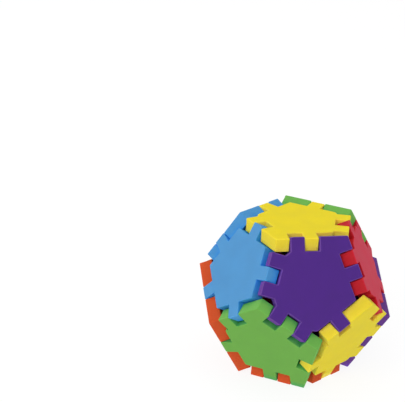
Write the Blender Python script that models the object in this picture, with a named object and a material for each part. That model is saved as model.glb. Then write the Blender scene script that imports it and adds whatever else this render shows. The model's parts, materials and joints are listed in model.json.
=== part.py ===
"""Ball of twelve flat foam panels that lock together by tabs and notches along their edges.

Metres, +Z up. The origin is the centre of the base panel's outer face, and -Y is the front.
The outer faces lie on a regular dodecahedron. Each panel is die cut from one sheet, so its
walls stand square to its faces, and the ball is hollow. The tabs are a little longer than the
sheet is thick, so their ends stand slightly proud of the panels that they pass through.
"""

import math

import bpy
from mathutils import Matrix, Vector

# Driving dimensions, in metres
HEIGHT = 0.100          # from the base panel's outer face to the top panel's
SHEET = 0.0086          # thickness of the foam sheet
NOTCH_DEPTH = 0.0086    # from the ideal edge line to the floor of a notch
TAB_REACH = 0.0004      # how far a tab's end stands past the ideal edge line
FIT_GAP = 0.0003        # between the side walls of neighbouring tabs
TAB_ROUND = 0.0006      # radius at the corners of a tab
CORE_ROUNDS = (0.0008, 0.0030)  # radius at a body corner with no tab beside it, and with one
STEPS = 5               # steps along an edge: corner, three equal middle steps, corner
ARC_PIECES = 3          # straight pieces in a rounded corner
WELD_DISTANCE = 0.00005

# The regular dodecahedron
GOLDEN = (1 + math.sqrt(5)) / 2
CENTRE_TO_FACE = HEIGHT / 2
EDGE = 2 * CENTRE_TO_FACE * math.sqrt(3 - GOLDEN) / GOLDEN ** 2
CORNER_STEP = NOTCH_DEPTH                   # so a corner tab is as wide as it is long
MIDDLE_STEP = (EDGE - 2 * CORNER_STEP) / (STEPS - 2)
FACE_TILT = math.atan(2)                    # angle between the normals of neighbouring panels
CENTRE = Vector((0, 0, CENTRE_TO_FACE))

# Each panel's row, its place in the row in fifths of a turn from the front, and its colour
PANELS = {
    "yellow_top": ("top", 0, "yellow"),
    "purple_front": ("upper", 0, "purple"),
    "red_right": ("upper", 1, "red"),
    "green_back": ("upper", 2, "green"),
    "blue_back": ("upper", 3, "blue"),
    "blue_left": ("upper", 4, "blue"),
    "yellow_low": ("lower", 0, "yellow"),
    "purple_low": ("lower", 1, "purple"),
    "red_low": ("lower", 2, "red"),
    "orange_low": ("lower", 3, "orange"),
    "green_low": ("lower", 4, "green"),
    "orange_base": ("base", 0, "orange"),
}

# On each shared edge one panel has the two outer tabs of the three middle steps, and its
# neighbour has the one between them. Here, each panel's neighbours to which it gives the middle.
OUTER_TABS = {
    "yellow_top": ["blue_left", "red_right"],
    "purple_front": ["yellow_top", "green_low", "blue_left"],
    "red_right": ["purple_front", "green_back"],
    "green_back": ["yellow_top", "purple_low", "red_low"],
    "blue_back": ["yellow_top", "blue_left", "green_back", "orange_low"],
    "blue_left": [],
    "yellow_low": ["purple_front", "purple_low", "red_right"],
    "purple_low": ["red_right", "orange_base"],
    "red_low": ["blue_back", "purple_low", "orange_low"],
    "orange_low": ["blue_left", "green_low", "orange_base"],
    "green_low": ["yellow_low", "blue_left"],
    "orange_base": ["green_low", "yellow_low", "red_low"],
}

# Three panels meet at each corner, and one of them fills it. Here, the corners that each
# panel fills, each given by the two other panels that meet there.
CORNER_TABS = {
    "yellow_top": [("purple_front", "blue_left")],
    "purple_front": [("yellow_top", "red_right")],
    "red_right": [],
    "green_back": [("yellow_top", "red_right"), ("yellow_top", "blue_back"), ("purple_low", "red_low")],
    "blue_back": [("yellow_top", "blue_left"), ("orange_low", "red_low")],
    "blue_left": [],
    "yellow_low": [("purple_front", "red_right")],
    "purple_low": [("red_right", "yellow_low"), ("red_right", "green_back"), ("yellow_low", "orange_base")],
    "red_low": [("blue_back", "green_back"), ("purple_low", "orange_base")],
    "orange_low": [("green_low", "blue_left"), ("green_low", "orange_base"), ("blue_left", "blue_back")],
    "green_low": [("purple_front", "yellow_low"), ("purple_front", "blue_left"), ("yellow_low", "orange_base")],
    "orange_base": [("orange_low", "red_low")],
}

# Foam colours as sRGB values from 0 to 255
COLOURS = {
    "purple": (88, 48, 146),
    "yellow": (240, 218, 48),
    "blue": (84, 152, 214),
    "green": (112, 176, 80),
    "red": (200, 34, 44),
    "orange": (212, 82, 40),
}
FOAM_ROUGHNESS = 0.85


def outward_normal(name):
    """The direction that a panel faces."""
    row, fifths, _ = PANELS[name]
    if row in ("top", "base"):
        return Vector((0, 0, 1 if row == "top" else -1))
    tilt = FACE_TILT if row == "upper" else math.pi - FACE_TILT
    lag = 0 if row == "upper" else 0.5
    turn = math.radians(-90) + (fifths + lag) * 2 * math.pi / 5
    return Vector((math.sin(tilt) * math.cos(turn), math.sin(tilt) * math.sin(turn), math.cos(tilt)))


NORMALS = {name: outward_normal(name) for name in PANELS}


def face_frame(name):
    """A panel's own frame: the origin in the middle of its outer face, +Z pointing out."""
    normal = NORMALS[name]
    upright = Vector((0, 0, 1)) if abs(normal.z) < 0.9 else Vector((0, 1, 0))
    y_axis = (upright - upright.dot(normal) * normal).normalized()
    turned = Matrix((y_axis.cross(normal), y_axis, normal)).transposed().to_4x4()
    return Matrix.Translation(CENTRE + CENTRE_TO_FACE * normal) @ turned


def are_neighbours(one, other):
    return abs(NORMALS[one].angle(NORMALS[other]) - FACE_TILT) < 0.01


def corners_around(name):
    """The panel's five corners, counter-clockwise from outside, as (point, the two others)."""
    to_panel = face_frame(name).inverted()
    beside = [other for other in PANELS if other != name and are_neighbours(name, other)]
    corners = []
    for index, one in enumerate(beside):
        for other in beside[index + 1:]:
            if are_neighbours(one, other):
                total = NORMALS[name] + NORMALS[one] + NORMALS[other]
                place = CENTRE + total * CENTRE_TO_FACE / total.dot(NORMALS[name])
                corners.append(((to_panel @ place).to_2d(), {one, other}))
    return sorted(corners, key=lambda corner: math.atan2(corner[0].y, corner[0].x))


def steps_held(name, neighbour, start_pair, end_pair):
    """For each step along an edge, whether this panel reaches out to the edge there."""
    filled = [set(pair) for pair in CORNER_TABS[name]]
    has_outer = neighbour in OUTER_TABS[name]
    return [start_pair in filled, has_outer, not has_outer, has_outer, end_pair in filled]


def sharp_outline(name):
    """The panel's outline before rounding, as (point, rounding radius) pairs.

    A body corner between two tabs is cut straight across, from one notch to the other."""
    corners = corners_around(name)
    edges = []
    for (start, start_pair), (end, end_pair) in zip(corners, corners[1:] + corners[:1]):
        neighbour = (start_pair & end_pair).pop()
        edges.append((start, end, steps_held(name, neighbour, start_pair, end_pair)))
    outline = []
    for index, (start, end, held) in enumerate(edges):
        along = (end - start).normalized()
        inward = Vector((-along.y, along.x))
        off_both_edges = inward + along * math.tan(math.pi / 5)
        tabs_beside = edges[index - 1][2][-2] + held[1]
        if held[0]:
            outline.append((start - off_both_edges * TAB_REACH, TAB_ROUND))
        elif tabs_beside < len(CORE_ROUNDS):
            outline.append((start + off_both_edges * NOTCH_DEPTH, CORE_ROUNDS[tabs_beside]))
        for step in range(1, STEPS):
            if held[step] == held[step - 1]:
                continue
            shift = FIT_GAP / 2 if held[step] else -FIT_GAP / 2
            place = start + along * (CORNER_STEP + (step - 1) * MIDDLE_STEP + shift)
            tip = place - inward * TAB_REACH
            root = place + inward * NOTCH_DEPTH
            wall = [(root, 0), (tip, TAB_ROUND)] if held[step] else [(tip, TAB_ROUND), (root, 0)]
            outline.extend(wall)
    return outline


def rounded(outline):
    """The outline with an arc in place of each corner that has a radius."""
    points = []
    for index, (corner, radius) in enumerate(outline):
        if not radius:
            points.append(corner)
            continue
        to_last = (outline[index - 1][0] - corner).normalized()
        to_next = (outline[(index + 1) % len(outline)][0] - corner).normalized()
        half = to_last.angle(to_next) / 2
        middle = corner + (to_last + to_next).normalized() * radius / math.sin(half)
        first = corner + to_last * radius / math.tan(half) - middle
        turn = first.angle_signed(corner + to_next * radius / math.tan(half) - middle)
        for piece in range(ARC_PIECES + 1):
            spoke = first.copy()
            spoke.rotate(Matrix.Rotation(-turn * piece / ARC_PIECES, 2))
            points.append(middle + spoke)
    return points


def foam_material(colour):
    material = bpy.data.materials.get(colour + "_foam") or bpy.data.materials.new(colour + "_foam")
    material.use_nodes = True
    shader = material.node_tree.nodes["Principled BSDF"]
    linear = [((value / 255 + 0.055) / 1.055) ** 2.4 for value in COLOURS[colour]]
    shader.inputs["Base Color"].default_value = (*linear, 1)
    shader.inputs["Roughness"].default_value = FOAM_ROUGHNESS
    shader.inputs["Metallic"].default_value = 0
    return material


def make_panel(name, collection):
    """One die-cut panel: its flat outline, thickened by the sheet, set in its place."""
    curve = bpy.data.curves.new(name + "_panel", "CURVE")
    curve.dimensions = "2D"
    curve.fill_mode = "BOTH"
    curve.extrude = SHEET / 2
    points = rounded(sharp_outline(name))
    spline = curve.splines.new("POLY")
    spline.points.add(len(points) - 1)
    for spline_point, point in zip(spline.points, points):
        spline_point.co = (point.x, point.y, 0, 1)
    spline.use_cyclic_u = True
    panel = bpy.data.objects.new(name + "_panel", curve)
    collection.objects.link(panel)
    panel.matrix_world = face_frame(name) @ Matrix.Translation((0, 0, -SHEET / 2))
    curve.materials.append(foam_material(PANELS[name][2]))
    weld = panel.modifiers.new("caps_to_walls", "WELD")
    weld.merge_threshold = WELD_DISTANCE
    return panel


def main():
    for item in list(bpy.data.objects):
        bpy.data.objects.remove(item, do_unlink=True)
    collection = bpy.data.collections.new("foam_panel_ball")
    bpy.context.scene.collection.children.link(collection)
    for name in PANELS:
        make_panel(name, collection)


main()
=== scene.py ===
"""Looks of the foam panel ball: twelve die-cut foam panels, a white table and soft studio light.

Each panel takes its outline and its place from the CAD node that it stands for. On that
outline it gets the softened corners, rolled rims and waisted cut walls of die-cut foam.
"""

import collections
import json
import math

import bmesh
import bpy
from mathutils import Matrix, Vector, noise

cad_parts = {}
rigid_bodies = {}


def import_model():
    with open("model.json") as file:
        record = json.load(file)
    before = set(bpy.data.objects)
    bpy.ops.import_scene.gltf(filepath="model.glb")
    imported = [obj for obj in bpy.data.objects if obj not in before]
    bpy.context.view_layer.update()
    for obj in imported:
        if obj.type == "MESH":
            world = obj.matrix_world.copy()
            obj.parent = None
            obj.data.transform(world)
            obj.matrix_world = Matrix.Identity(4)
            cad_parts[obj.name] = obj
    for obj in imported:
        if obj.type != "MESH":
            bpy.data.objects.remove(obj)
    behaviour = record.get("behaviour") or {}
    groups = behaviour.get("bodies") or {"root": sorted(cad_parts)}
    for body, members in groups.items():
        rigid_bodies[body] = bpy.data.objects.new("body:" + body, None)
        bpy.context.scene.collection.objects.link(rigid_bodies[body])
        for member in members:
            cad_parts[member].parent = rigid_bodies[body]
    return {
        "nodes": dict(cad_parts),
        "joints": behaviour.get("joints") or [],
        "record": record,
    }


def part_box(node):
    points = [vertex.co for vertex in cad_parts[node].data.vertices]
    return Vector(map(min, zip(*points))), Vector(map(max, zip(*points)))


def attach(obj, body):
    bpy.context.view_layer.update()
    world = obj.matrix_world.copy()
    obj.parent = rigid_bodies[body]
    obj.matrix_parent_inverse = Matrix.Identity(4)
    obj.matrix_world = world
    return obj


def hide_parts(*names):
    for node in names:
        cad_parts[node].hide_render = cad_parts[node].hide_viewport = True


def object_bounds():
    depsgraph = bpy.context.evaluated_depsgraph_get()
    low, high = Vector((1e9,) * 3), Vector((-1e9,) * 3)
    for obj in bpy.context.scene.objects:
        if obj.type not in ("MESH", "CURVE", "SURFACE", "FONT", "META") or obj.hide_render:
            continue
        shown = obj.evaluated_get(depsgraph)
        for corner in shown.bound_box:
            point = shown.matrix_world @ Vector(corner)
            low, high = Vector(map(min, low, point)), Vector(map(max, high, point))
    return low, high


MM = 0.001
WHITE = (1, 1, 1, 1)

# Die-cut edges, in metres
OUTER_RIM = 0.55 * MM        # radius rolled over by the blade, on the face it enters
INNER_RIM = 0.35 * MM        # radius on the face it leaves
WAIST = 0.10 * MM            # how far the middle of a cut wall draws in
CREASE_REACH = 0.28 * MM     # rounding at the inside corner of a notch
ARC_REACH = 0.12 * MM        # smoothing of the corners that the CAD outline already rounds
ROUNDING_SHARE = 0.25        # most of a stretch that rounding takes at either end
STRAIGHT_TURN = math.radians(1)     # a corner that turns less than this stays as it is
SHARP_TURN = math.radians(50)       # and one that turns more is a crease

# How finely the panels are divided
WALL_STEP = 1.5 * MM         # longest stretch of wall between two points
FACE_STEP = 3.0 * MM         # size of the squares that a face is divided into
RIM_RINGS = 4
WALL_RINGS = 4
CREASE_POINTS = 4

# Tolerances, in metres
WELD_DISTANCE = 0.01 * MM    # points closer than this become one
FLAT_WITHIN = 0.02 * MM      # how far a point of the outer face may lie from its plane

# Slow unevenness of the sheet, in metres, and how far apart the panels lie in the noise
PANEL_NOISE_START = 1.0
PANEL_NOISE_STEP = 0.37
FACE_SWELL = 0.07 * MM
FACE_WAVE = 16 * MM
WALL_SWELL = 0.05 * MM
WALL_WAVE = 9 * MM
WALL_NOISE_SHIFT = Vector((7.3, 2.9, 5.1))  # so that a wall's two moves differ

# How far the hand left each panel from its ideal seat: across its face, up it and outward
SEATS = {
    "yellow_top": (-0.1 * MM, 0, -0.3 * MM),
    "purple_front": (0, 0.3 * MM, 0),
    "red_right": (0, 0.1 * MM, 0.1 * MM),
    "blue_left": (-0.1 * MM, 0.1 * MM, 0.1 * MM),
    "yellow_low": (0.1 * MM, 0.2 * MM, -0.2 * MM),
    "green_low": (0, 0.3 * MM, 0),
    "orange_low": (0, 0.1 * MM, 0),
}

# Linear colours of each foam: the skin of its face, a cut wall, a painted highlight on a rolled
# rim, and painted bounced light and shade for narrow gaps, standing in for light bounced from wall
# to wall
Foam = collections.namedtuple("Foam", "face wall rim gap")
FOAMS = {
    "purple": Foam(
        face=(0.064, 0.0115, 0.208), wall=(0.130, 0.044, 0.250),
        rim=(0.13, 0.055, 0.28), gap=(0.20, 0.09, 0.60)),
    "yellow": Foam(
        face=(0.745, 0.600, 0.003), wall=(0.735, 0.590, 0.034),
        rim=(0.75, 0.61, 0.03), gap=(1.00, 0.78, 0.12)),
    "blue": Foam(
        face=(0.072, 0.265, 0.530), wall=(0.068, 0.272, 0.560),
        rim=(0.07, 0.28, 0.56), gap=(0.01, 0.28, 0.85)),
    "green": Foam(
        face=(0.125, 0.348, 0.050), wall=(0.145, 0.405, 0.076),
        rim=(0.14, 0.39, 0.07), gap=(0.02, 0.32, 0.10)),
    "red": Foam(
        face=(0.545, 0.007, 0.042), wall=(0.450, 0.012, 0.021),
        rim=(0.54, 0.015, 0.035), gap=(0.58, 0.006, 0.02)),
    "orange": Foam(
        face=(0.520, 0.072, 0.010), wall=(0.550, 0.075, 0.018),
        rim=(0.57, 0.09, 0.02), gap=(0.62, 0.07, 0.01)),
}
GAP_REACH = 5 * MM           # how near the next surface stands where the painted bounced light of narrow gaps shows
GAP_SAMPLES = 6

# Unevenness of the colour: sizes in metres, and shares of the colour
MOTTLE_SIZE = 11 * MM
MOTTLE = 0.08
SPECK_SIZE = 0.5 * MM
SPECK = 0.05
NOISE_ROUGHNESS = 0.55       # how strong each finer octave of a noise is

# Relief of the skin, pebbles over a slow peel, and of a cut wall, blade marks over open cells.
# Sizes and reliefs are in metres, and the weights say how each pair is added together.
PEBBLE_SIZE = 0.42 * MM
PEBBLE_WEIGHT = 0.5
PEEL_SIZE = 1.6 * MM
PEEL_WEIGHT = 0.8
SKIN_RELIEF = 0.04 * MM
BLADE_SIZE = 0.35 * MM
BLADE_STRETCH = 0.12         # squeeze of the noise through the sheet, which draws it out
BLADE_WEIGHT = 1.2
PORE_SIZE = 0.30 * MM
PORE_WEIGHT = 0.8
WALL_RELIEF = 0.05 * MM

# Shine, and the light that goes into the foam
SKIN_ROUGHNESS = 0.66
WALL_ROUGHNESS = 0.78
ROUGHNESS_SWAY = 0.15        # how much the mottle changes the roughness
SKIN_GLOSS = 0.27            # specular level of the moulded skin
WALL_GLOSS = 0.15            # and of the open cells on a cut wall
FOAM_IOR = 1.48
SCATTER = 0.5                # share of the light that goes a little way into the foam
SCATTER_REACH = 2.0 * MM
SCATTER_COLOURS = (1.0, 0.8, 0.7)   # how far red, green and blue go, as shares of that reach

# A lit white table: its own glow keeps shadows faint, as under a product in a light tent
FLOOR_COLOUR = (0.12, 0.12, 0.12, 1)
FLOOR_GRAIN_COLOUR = (0.2, 0.2, 0.2, 1)
FLOOR_GRAIN_SIZE = 1.5 * MM
FLOOR_GRAIN = 0.04
FLOOR_ROUGHNESS = 0.9
FLOOR_GLOW = 0.89
FLOOR_RADIUS = 6.0
FLOOR_SIDES = 96

# Camera, as seen from the ball's centre
CAMERA_TURN = math.radians(-15.49)      # from the front towards the left
CAMERA_RISE = math.radians(24.62)
CAMERA_DISTANCE = 1.158
CAMERA_OFF_AIM = (math.radians(2.58), math.radians(3.13))   # tilt and pan away from the centre
CAMERA_ROLL = math.radians(4.67)
CAMERA_LENS = 160.9
CAMERA_SENSOR = 36.0
CAMERA_CLIP_START = 0.01

LIGHTS = {
    # name: (place, size, power in watts, colour)
    "key_left": ((-1.0, -1.3, 1.0), 1.2, 14.0, (1.0, 0.99, 0.97)),
    "top_box": ((-0.2, 0.3, 1.5), 1.4, 4.8, (1.0, 1.0, 1.0)),
}
WORLD_STRENGTH = 0.72        # even light from all around
BACKDROP = 1.0               # how bright the air behind the table looks, so that it stays white


# ---------------------------------------------------------------- panel geometry

def panel_normals(frame):
    """The outward direction of each body: its slide's axis, or straight down for the base."""
    normals = {joint["child"]: Vector(joint["axis"]) for joint in frame["joints"]}
    base = {joint["parent"] for joint in frame["joints"]}.pop()
    normals[base] = Vector((0, 0, -1))
    return normals


def face_frame(normal, ball_centre, reach):
    """A panel's own frame: origin in the middle of its outer face, +Z pointing out."""
    is_level = abs(normal.z) > 0.9
    upright = Vector((0, 1, 0)) if is_level else Vector((0, 0, 1))
    y_axis = (upright - upright.dot(normal) * normal).normalized()
    turned = Matrix((y_axis.cross(normal), y_axis, normal)).transposed().to_4x4()
    return Matrix.Translation(ball_centre + reach * normal) @ turned


def cad_outline(node, place):
    """The outline of a CAD panel's outer face, as 2D points in the panel's own frame."""
    mesh = bmesh.new()
    mesh.from_mesh(node.data)
    bmesh.ops.transform(mesh, matrix=place.inverted(), verts=mesh.verts)
    bmesh.ops.remove_doubles(mesh, verts=mesh.verts, dist=WELD_DISTANCE)
    cap = {face for face in mesh.faces if all(abs(v.co.z) < FLAT_WITHIN for v in face.verts)}
    following = {}
    for face in cap:
        for loop in face.loops:
            if not all(other in cap for other in loop.edge.link_faces):
                following[loop.vert.index] = loop.link_loop_next.vert.index
    mesh.verts.ensure_lookup_table()
    start = min(following)
    order = [start]
    while following[order[-1]] != start:
        order.append(following[order[-1]])
    points = [mesh.verts[index].co.to_2d() for index in order]
    mesh.free()
    return points


def softened(points):
    """The outline with its creases rounded and its arcs smoothed."""
    result = []
    for index, corner in enumerate(points):
        last, following = points[index - 1], points[(index + 1) % len(points)]
        to_last, to_next = last - corner, following - corner
        turn = math.pi - to_last.angle(to_next)
        if turn < STRAIGHT_TURN:
            result.append(corner)
            continue
        crease = turn > SHARP_TURN
        room = ROUNDING_SHARE * min(to_last.length, to_next.length)
        reach = min(CREASE_REACH if crease else ARC_REACH, room)
        start = corner + to_last.normalized() * reach
        end = corner + to_next.normalized() * reach
        pieces = CREASE_POINTS if crease else 1
        for piece in range(pieces + 1):
            t = piece / pieces
            result.append(start * (1 - t) ** 2 + corner * 2 * t * (1 - t) + end * t ** 2)
    return result


def stepped(points):
    """The outline with its long straight stretches divided."""
    result = []
    for index, point in enumerate(points):
        following = points[(index + 1) % len(points)]
        pieces = max(1, math.ceil((following - point).length / WALL_STEP))
        result += [point.lerp(following, piece / pieces) for piece in range(pieces)]
    return result


def inward_steps(points):
    """For each outline point, the move that insets both of its edges by one unit."""
    moves = []
    for index, point in enumerate(points):
        before = (point - points[index - 1]).normalized()
        after = (points[(index + 1) % len(points)] - point).normalized()
        normal_before = Vector((-before.y, before.x))
        normal_after = Vector((-after.y, after.x))
        moves.append((normal_before + normal_after) / (1 + normal_before.dot(normal_after)))
    return moves


def wall_profile(thickness):
    """Rings from the outer face over the rim, down the cut wall and round to the inner face.

    Each is (inset, depth, share of cut wall, share of rim)."""
    rings = []
    for ring in range(RIM_RINGS + 1):
        angle = math.pi / 2 * ring / RIM_RINGS
        inset = OUTER_RIM * (1 - math.sin(angle))
        depth = OUTER_RIM * (1 - math.cos(angle))
        rings.append((inset, depth, ring / RIM_RINGS, math.sin(2 * angle)))
    height = thickness - OUTER_RIM - INNER_RIM
    for ring in range(1, WALL_RINGS):
        share = ring / WALL_RINGS
        rings.append((WAIST * math.sin(math.pi * share), OUTER_RIM + height * share, 1, 0))
    for ring in range(RIM_RINGS + 1):
        angle = math.pi / 2 * ring / RIM_RINGS
        inset = INNER_RIM * (1 - math.cos(angle))
        depth = thickness - INNER_RIM * (1 - math.sin(angle))
        rings.append((inset, depth, 1 - ring / RIM_RINGS, math.sin(2 * angle)))
    return rings


def unevenness(point, seed):
    """A small move of a point on the panel: the sheet is never quite flat or cut quite true."""
    shifted = Vector((point.x + seed, point.y - seed, point.z))
    side = noise.noise(shifted / WALL_WAVE) * WALL_SWELL
    other_side = noise.noise(shifted / WALL_WAVE + WALL_NOISE_SHIFT) * WALL_SWELL
    swell = noise.noise(shifted / FACE_WAVE) * FACE_SWELL
    return Vector((side, other_side, swell))


def close_panel(mesh, outline, thickness):
    """The panel's skin: rings of points down its wall, joined up, and a face at either end.

    The layers "cut" and "rim" say how much of each point is cut wall and rolled rim; the material
    paints a highlight along the rim by "rim"."""
    cut = mesh.verts.layers.float.new("cut")
    rim = mesh.verts.layers.float.new("rim")
    moves = inward_steps(outline)
    rings = []
    for inset, depth, cut_share, rim_share in wall_profile(thickness):
        ring = []
        for point, move in zip(outline, moves):
            at = point + move * inset
            vert = mesh.verts.new((at.x, at.y, -depth))
            vert[cut] = cut_share
            vert[rim] = rim_share
            ring.append(vert)
        rings.append(ring)
    count = len(outline)
    for upper, lower in zip(rings, rings[1:]):
        for index in range(count):
            after = (index + 1) % count
            mesh.faces.new((upper[after], upper[index], lower[index], lower[after]))
    mesh.faces.new(rings[0])
    mesh.faces.new(reversed(rings[-1]))


def divide_faces(mesh, outline):
    """Cuts the panel by planes both ways, so that its faces have points to carry the swell."""
    for direction in (Vector((1, 0, 0)), Vector((0, 1, 0))):
        reaches = [direction.dot(point.to_3d()) for point in outline]
        low, high = min(reaches), max(reaches)
        pieces = math.ceil((high - low) / FACE_STEP)
        for piece in range(1, pieces):
            position = direction * (low + (high - low) * piece / pieces)
            everything = list(mesh.verts) + list(mesh.edges) + list(mesh.faces)
            bmesh.ops.bisect_plane(
                mesh, geom=everything, dist=WELD_DISTANCE, plane_co=position, plane_no=direction)


def foam_panel(name, node, place, seat, thickness, seed):
    """One panel's mesh, built in its own frame and then moved to its place and seat.

    The layer "sheet" keeps where each point is on the sheet, for the material."""
    outline = stepped(softened(cad_outline(node, place)))
    mesh = bmesh.new()
    close_panel(mesh, outline, thickness)
    divide_faces(mesh, outline)
    sheet = mesh.verts.layers.float_vector.new("sheet")
    for vert in mesh.verts:
        vert[sheet] = vert.co
        vert.co = place @ (vert.co + unevenness(vert.co, seed) + seat)
    bmesh.ops.triangulate(mesh, faces=[face for face in mesh.faces if len(face.verts) > 4])
    bmesh.ops.recalc_face_normals(mesh, faces=mesh.faces)
    data = bpy.data.meshes.new(name)
    mesh.to_mesh(data)
    mesh.free()
    data.shade_smooth()
    panel = add_object(name, data)
    even = panel.modifiers.new("flat_faces_lead", "WEIGHTED_NORMAL")
    even.mode = "FACE_AREA"
    return panel


def add_object(name, data):
    made = bpy.data.objects.new(name, data)
    bpy.context.scene.collection.objects.link(made)
    return made


# ---------------------------------------------------------------- materials

class Graph:
    """Short calls for building a node material."""

    def __init__(self, name):
        self.material = bpy.data.materials.new(name)
        self.material.use_nodes = True
        self.tree = self.material.node_tree
        self.shader = self.tree.nodes["Principled BSDF"]

    def node(self, kind, **settings):
        made = self.tree.nodes.new("ShaderNode" + kind)
        for key, value in settings.items():
            setattr(made, key, value)
        return made

    def feed(self, socket, value):
        """Sets an input to a value, or links it to another node's output."""
        if isinstance(value, bpy.types.NodeSocket):
            self.tree.links.new(value, socket)
        else:
            socket.default_value = value

    def shaded(self, inputs):
        """The material, once the shader has these inputs."""
        for name, value in inputs.items():
            self.feed(self.shader.inputs[name], value)
        return self.material

    def math(self, operation, *values):
        made = self.node("Math", operation=operation)
        for socket, value in zip(made.inputs, values):
            self.feed(socket, value)
        return made.outputs[0]

    def summed(self, first, first_weight, second, second_weight):
        return self.math("MULTIPLY_ADD", first, first_weight,
                         self.math("MULTIPLY", second, second_weight))

    def between(self, share, low, high):
        """low where share is 0 and high where it is 1."""
        made = self.node("Mix", data_type="FLOAT")
        self.feed(made.inputs[0], share)
        self.feed(made.inputs[2], low)
        self.feed(made.inputs[3], high)
        return made.outputs[0]

    def blended(self, share, first, second):
        """The same for two colours."""
        made = self.node("Mix", data_type="RGBA")
        self.feed(made.inputs[0], share)
        self.feed(made.inputs[6], first)
        self.feed(made.inputs[7], second)
        return made.outputs[2]

    def mapped(self, vector, location=(0, 0, 0), scale=(1, 1, 1)):
        made = self.node("Mapping")
        self.feed(made.inputs["Vector"], vector)
        made.inputs["Location"].default_value = location
        made.inputs["Scale"].default_value = scale
        return made.outputs[0]

    def noise(self, vector, size, detail=3.0):
        """Noise from 0 to 1 whose features are about that size, in metres."""
        made = self.node("TexNoise")
        self.feed(made.inputs["Vector"], vector)
        made.inputs["Scale"].default_value = 1 / size
        made.inputs["Detail"].default_value = detail
        made.inputs["Roughness"].default_value = NOISE_ROUGHNESS
        return made.outputs["Fac"]

    def cells(self, vector, size, feature):
        """Rounded cells about that size, in metres: 0 in a cell's middle."""
        made = self.node("TexVoronoi", feature=feature)
        self.feed(made.inputs["Vector"], vector)
        made.inputs["Scale"].default_value = 1 / size
        return made.outputs["Distance"]

    def attribute(self, name, output="Fac"):
        return self.node("Attribute", attribute_name=name).outputs[output]

    def shut_in(self, reach):
        """0 on an open surface, and up to 1 where other surfaces stand within that reach."""
        made = self.node("AmbientOcclusion", samples=GAP_SAMPLES)
        made.inputs["Distance"].default_value = reach
        return self.math("SUBTRACT", 1.0, made.outputs["AO"])


def foam_colour(graph, foam, place, cut, mottle):
    """The foam's colours by kind of surface, with a painted highlight on the rims and painted
    bounced light and shade in narrow gaps; mottle and specks make them lighter and darker.
    """
    surface = graph.blended(cut, (*foam.face, 1), (*foam.wall, 1))
    # painted highlight: a lighter line of colour along the rolled rims
    surface = graph.blended(graph.attribute("rim"), surface, (*foam.rim, 1))
    # painted bounced light and shade: where other surfaces stand near, by ambient occlusion, the
    # colour turns to a deeper one of its own
    surface = graph.blended(graph.shut_in(GAP_REACH), surface, (*foam.gap, 1))
    speck = graph.noise(place, SPECK_SIZE, detail=2)
    shade = graph.node("HueSaturation")
    value = graph.math("MULTIPLY", graph.between(mottle, 1 - MOTTLE, 1 + MOTTLE),
                       graph.between(speck, 1 - SPECK, 1 + SPECK))
    graph.feed(shade.inputs["Value"], value)
    graph.feed(shade.inputs["Color"], surface)
    return shade.outputs[0]


def foam_relief(graph, place, cut):
    """Fine relief: pebbles and peel on the skin, and blade marks and open cells on the walls."""
    pebbles = graph.cells(place, PEBBLE_SIZE, "SMOOTH_F1")
    peel = graph.noise(place, PEEL_SIZE, detail=2)
    skin = graph.summed(pebbles, PEBBLE_WEIGHT, peel, PEEL_WEIGHT)
    blade = graph.noise(graph.mapped(place, scale=(1, 1, BLADE_STRETCH)), BLADE_SIZE)
    pores = graph.cells(place, PORE_SIZE, "F1")
    wall = graph.summed(blade, BLADE_WEIGHT, pores, PORE_WEIGHT)
    bump = graph.node("Bump")
    bump.inputs["Strength"].default_value = 1.0
    graph.feed(bump.inputs["Height"], graph.between(cut, skin, wall))
    graph.feed(bump.inputs["Distance"], graph.between(cut, SKIN_RELIEF, WALL_RELIEF))
    return bump.outputs[0]


def foam_material(name, foam, seed):
    """Closed-cell foam: a finely pebbled skin on the faces, and cut cells on the walls."""
    graph = Graph(name)
    sheet = graph.attribute("sheet", "Vector")
    place = graph.mapped(sheet, location=(seed, 0.7 * seed, 0.3 * seed))
    cut = graph.attribute("cut")
    mottle = graph.noise(place, MOTTLE_SIZE, detail=4)
    sway = graph.math("SUBTRACT", mottle, 0.5)
    roughness = graph.between(cut, SKIN_ROUGHNESS, WALL_ROUGHNESS)
    return graph.shaded({
        "Base Color": foam_colour(graph, foam, place, cut, mottle),
        "Normal": foam_relief(graph, place, cut),
        "Roughness": graph.math("MULTIPLY_ADD", sway, ROUGHNESS_SWAY, roughness),
        "Specular IOR Level": graph.between(cut, SKIN_GLOSS, WALL_GLOSS),
        "IOR": FOAM_IOR,
        "Subsurface Weight": SCATTER,
        "Subsurface Radius": SCATTER_COLOURS,
        "Subsurface Scale": SCATTER_REACH,
    })


def floor_material():
    """The table: white and matte, with a very faint grain and a glow of its own."""
    graph = Graph("pale_floor")
    coords = graph.node("TexCoord").outputs["Object"]
    grain = graph.math("MULTIPLY", graph.noise(coords, FLOOR_GRAIN_SIZE), FLOOR_GRAIN)
    return graph.shaded({
        "Base Color": graph.blended(grain, FLOOR_COLOUR, FLOOR_GRAIN_COLOUR),
        "Roughness": FLOOR_ROUGHNESS,
        "Specular IOR Level": 0.0,
        "Emission Color": WHITE,
        "Emission Strength": FLOOR_GLOW,
    })


# ---------------------------------------------------------------- studio

def make_floor(height):
    data = bpy.data.meshes.new("floor")
    mesh = bmesh.new()
    bmesh.ops.create_circle(mesh, cap_ends=True, segments=FLOOR_SIDES, radius=FLOOR_RADIUS)
    mesh.to_mesh(data)
    mesh.free()
    data.materials.append(floor_material())
    floor = add_object("floor", data)
    floor.location.z = height


def make_lights(target):
    for name, (place, size, power, colour) in LIGHTS.items():
        data = bpy.data.lights.new(name, "AREA")
        data.shape = "DISK"
        data.size = size
        data.energy = power
        data.color = colour
        light = add_object(name, data)
        light.location = place
        light.rotation_euler = (target - Vector(place)).to_track_quat("-Z", "Y").to_euler()


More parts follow.
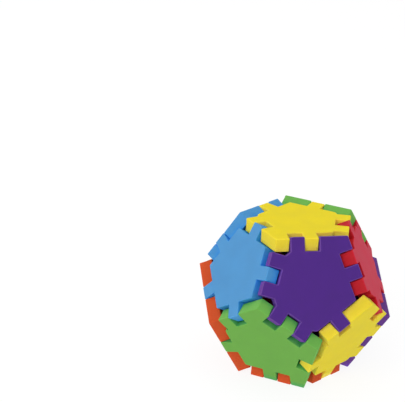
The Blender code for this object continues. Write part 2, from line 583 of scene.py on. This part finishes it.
def make_world():
    """Even light from all around, and a white backdrop as bright as the table."""
    world = bpy.data.worlds.new("studio_air")
    world.use_nodes = True
    tree = world.node_tree
    looked_at = tree.nodes.new("ShaderNodeLightPath").outputs["Is Camera Ray"]
    strength = tree.nodes.new("ShaderNodeMapRange")
    strength.inputs["To Min"].default_value = WORLD_STRENGTH
    strength.inputs["To Max"].default_value = BACKDROP
    air = tree.nodes["Background"]
    air.inputs["Color"].default_value = WHITE
    tree.links.new(looked_at, strength.inputs["Value"])
    tree.links.new(strength.outputs["Result"], air.inputs["Strength"])
    bpy.context.scene.world = world


def make_camera(target):
    """A long lens that looks a little past the ball, which stands low and right of the middle."""
    outward = Vector((
        math.sin(CAMERA_TURN) * math.cos(CAMERA_RISE),
        -math.cos(CAMERA_TURN) * math.cos(CAMERA_RISE),
        math.sin(CAMERA_RISE)))
    level = (-outward).to_track_quat("-Z", "Y").to_matrix().to_4x4()
    tilt = Matrix.Rotation(CAMERA_OFF_AIM[0], 4, "X")
    pan = Matrix.Rotation(CAMERA_OFF_AIM[1], 4, "Y")
    roll = Matrix.Rotation(CAMERA_ROLL, 4, "Z")
    data = bpy.data.cameras.new("camera")
    data.lens = CAMERA_LENS
    data.sensor_width = CAMERA_SENSOR
    data.clip_start = CAMERA_CLIP_START
    camera = add_object("camera", data)
    camera.matrix_world = (
        Matrix.Translation(target + outward * CAMERA_DISTANCE) @ level @ pan @ tilt @ roll)
    bpy.context.scene.camera = camera


# ---------------------------------------------------------------- the ball

def make_panels(frame, ball_centre, reach, thickness):
    """Puts a foam panel in place of each body's CAD panel."""
    slots = {part["node"]: part["material_slot"] for part in frame["record"]["subparts"]}
    for number, (body, normal) in enumerate(sorted(panel_normals(frame).items())):
        node_name = body + "_panel"
        seed = PANEL_NOISE_START + PANEL_NOISE_STEP * number
        place = face_frame(normal, ball_centre, reach)
        seat = Vector(SEATS.get(body, (0, 0, 0)))
        panel = foam_panel(body + "_foam", frame["nodes"][node_name], place, seat, thickness, seed)
        colour = slots[node_name].removesuffix("_foam")
        panel.data.materials.append(foam_material(body + "_foam", FOAMS[colour], seed))
        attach(panel, body)
        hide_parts(node_name)


def main():
    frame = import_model()
    cad_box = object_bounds()
    base_low, base_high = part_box("orange_base_panel")
    _, top_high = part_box("yellow_top_panel")
    thickness = base_high.z - base_low.z
    reach = (top_high.z - base_low.z) / 2
    ball_centre = Vector((0, 0, base_low.z + reach))
    make_camera(ball_centre)
    make_lights(ball_centre)
    make_world()
    make_floor(cad_box[0][2])
    make_panels(frame, ball_centre, reach, thickness)

    bpy.context.scene.view_settings.view_transform = "Standard"


main()
